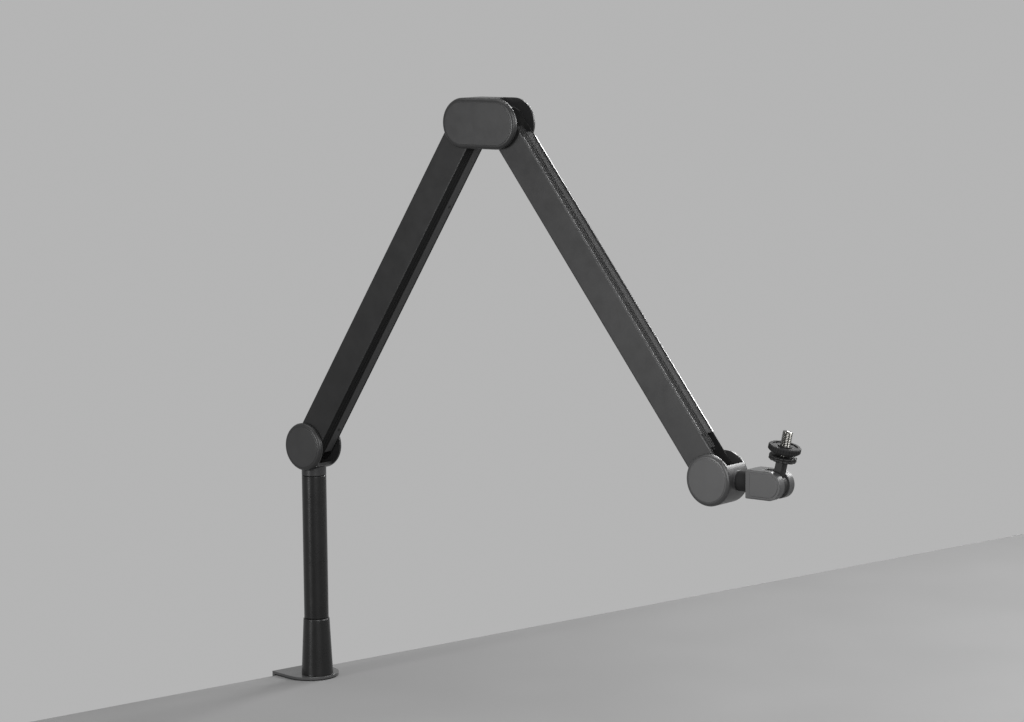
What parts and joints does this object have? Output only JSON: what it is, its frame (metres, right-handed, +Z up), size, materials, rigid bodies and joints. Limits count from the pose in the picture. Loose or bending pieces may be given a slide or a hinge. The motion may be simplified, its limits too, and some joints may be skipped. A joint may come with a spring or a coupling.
{
  "type": "microphone boom arm",
  "caption": "Desk boom arm for a microphone: clamp, riser post, two linked arms with cable channels, and a tilting threaded mount.",
  "frame": {"origin": "on the desk-top plane, under the axis of the riser post", "axes": "+Z up along the riser; +X in the plane of the arms, towards the microphone mount; Y along the pivots of the arms"},
  "size_m": [0.6447, 0.0624, 0.7063],
  "materials": {
    "black_steel": "satin",
    "black_aluminium": "satin",
    "satin_caps": "satin",
    "cover_plastic": "matte",
    "bearing_plastic": "matte",
    "rubber": "matte",
    "zinc_steel": "satin",
    "black_trim": "matte",
    "bright_steel": "bright"
  },
  "bodies": {
    "clamp": {"clamp_frame": "black_steel", "clamp_pad": "rubber", "riser_socket": "black_aluminium", "socket_bush": "bearing_plastic", "socket_bolts": "zinc_steel"},
    "cup": {"pressure_cup": "black_steel", "cup_rubber": "rubber"},
    "screw": {"clamp_screw": "zinc_steel", "clamp_knob": "cover_plastic"},
    "riser": {"riser_tube": "black_aluminium", "riser_plug": "zinc_steel", "riser_bush": "bearing_plastic", "riser_seam": "black_trim"},
    "shoulder": {"shoulder_yoke": "black_aluminium", "shoulder_seam": "black_trim", "shoulder_cap_front": "satin_caps", "shoulder_cap_back": "satin_caps", "shoulder_bolt": "zinc_steel", "shoulder_nut": "zinc_steel", "shoulder_link_pin": "zinc_steel"},
    "lower_arm": {"lower_arm_tube": "black_aluminium", "lower_arm_cover": "cover_plastic", "lower_arm_bushes": "bearing_plastic", "lower_arm_washers": "bearing_plastic", "lower_spring_pin": "zinc_steel", "lower_spring": "zinc_steel"},
    "lower_bar": {"lower_link": "zinc_steel"},
    "elbow": {"elbow_frame": "black_aluminium", "elbow_cover_front": "satin_caps", "elbow_cover_back": "satin_caps", "elbow_bolts": "zinc_steel", "elbow_nuts": "zinc_steel", "elbow_link_pins": "zinc_steel"},
    "upper_arm": {"upper_arm_tube": "black_aluminium", "upper_arm_cover": "cover_plastic", "upper_arm_bushes": "bearing_plastic", "upper_arm_washers": "bearing_plastic", "upper_spring_pin": "zinc_steel", "upper_spring": "zinc_steel"},
    "upper_bar": {"upper_link": "zinc_steel"},
    "head": {"head_hub": "black_aluminium", "head_cap_front": "satin_caps", "head_cap_back": "satin_caps", "head_bolt": "zinc_steel", "head_nut": "zinc_steel", "head_link_pin": "zinc_steel"},
    "fork": {"fork_arm": "black_aluminium", "fork_bush": "bearing_plastic", "tilt_bolt": "zinc_steel", "tilt_nut": "zinc_steel"},
    "mic_mount": {"mount_stem": "black_trim", "mount_stud": "bright_steel"},
    "lock_ring_washer": {"lock_washer": "rubber"},
    "lock_ring": {"lock_disc": "black_trim"}
  },
  "joints": [
    {"name": "cup_slide", "type": "slide", "parent": "clamp", "child": "cup", "axis": [0, 0, 1], "range_m": [-0.0235, 0.012]},
    {"name": "screw_turn", "type": "hinge", "parent": "cup", "child": "screw", "pos_m": [-0.00784, 0.0016, 0], "axis": [0, 0, 1], "range_deg": [-4231, 2161]},
    {"name": "riser_turn", "type": "hinge", "parent": "clamp", "child": "riser", "pos_m": [0, 0, 0.063], "axis": [0, 0, 1], "continuous": true},
    {"name": "shoulder_turn", "type": "hinge", "parent": "riser", "child": "shoulder", "pos_m": [0, 0, 0.2445], "axis": [0, 0, 1], "continuous": true},
    {"name": "shoulder_lift", "type": "hinge", "parent": "shoulder", "child": "lower_arm", "pos_m": [0, 0, 0.2445], "axis": [0, -1, 0], "range_deg": [-35, 30], "deforming": ["lower_spring"]},
    {"name": "lower_bar_swing", "type": "hinge", "parent": "shoulder", "child": "lower_bar", "pos_m": [-0.008, 0, 0.24962], "axis": [0, -1, 0], "range_deg": [-35, 30]},
    {"name": "elbow_level", "type": "hinge", "parent": "lower_arm", "child": "elbow", "pos_m": [0.21626, 0, 0.58266], "axis": [0, -1, 0], "range_deg": [-30, 35]},
    {"name": "elbow_lift", "type": "hinge", "parent": "elbow", "child": "upper_arm", "pos_m": [0.25746, 0, 0.58266], "axis": [0, -1, 0], "range_deg": [-20, 58], "deforming": ["upper_spring"]},
    {"name": "upper_bar_swing", "type": "hinge", "parent": "elbow", "child": "upper_bar", "pos_m": [0.25237, 0, 0.57464], "axis": [0, -1, 0], "range_deg": [-20, 58]},
    {"name": "head_level", "type": "hinge", "parent": "upper_arm", "child": "head", "pos_m": [0.50652, 0, 0.25925], "axis": [0, -1, 0], "range_deg": [-58, 20]},
    {"name": "fork_roll", "type": "hinge", "parent": "head", "child": "fork", "pos_m": [0.54582, 0, 0.25925], "axis": [1, 0, 0], "range_deg": [-90, 90]},
    {"name": "mount_tilt", "type": "hinge", "parent": "fork", "child": "mic_mount", "pos_m": [0.57282, 0, 0.25925], "axis": [0, 1, 0], "range_deg": [-33, 85]},
    {"name": "lock_slide", "type": "slide", "parent": "mic_mount", "child": "lock_ring_washer", "axis": [0.225, 0, 0.9744], "range_m": [-0.0028, 0.0048]},
    {"name": "lock_turn", "type": "hinge", "parent": "lock_ring_washer", "child": "lock_ring", "pos_m": [0.58299, 0, 0.30329], "axis": [0.225, 0, 0.9744], "range_deg": [-636, 1090]}
  ],
  "couplings": [
    {"joint": "screw_turn", "follows": "cup_slide", "rad_per_m": 3141.6},
    {"joint": "lower_bar_swing", "follows": "shoulder_lift", "ratio": 1},
    {"joint": "elbow_level", "follows": "shoulder_lift", "ratio": -1},
    {"joint": "upper_bar_swing", "follows": "elbow_lift", "ratio": 1},
    {"joint": "head_level", "follows": "elbow_lift", "ratio": -1},
    {"joint": "lock_turn", "follows": "lock_slide", "rad_per_m": 3957.9}
  ]
}
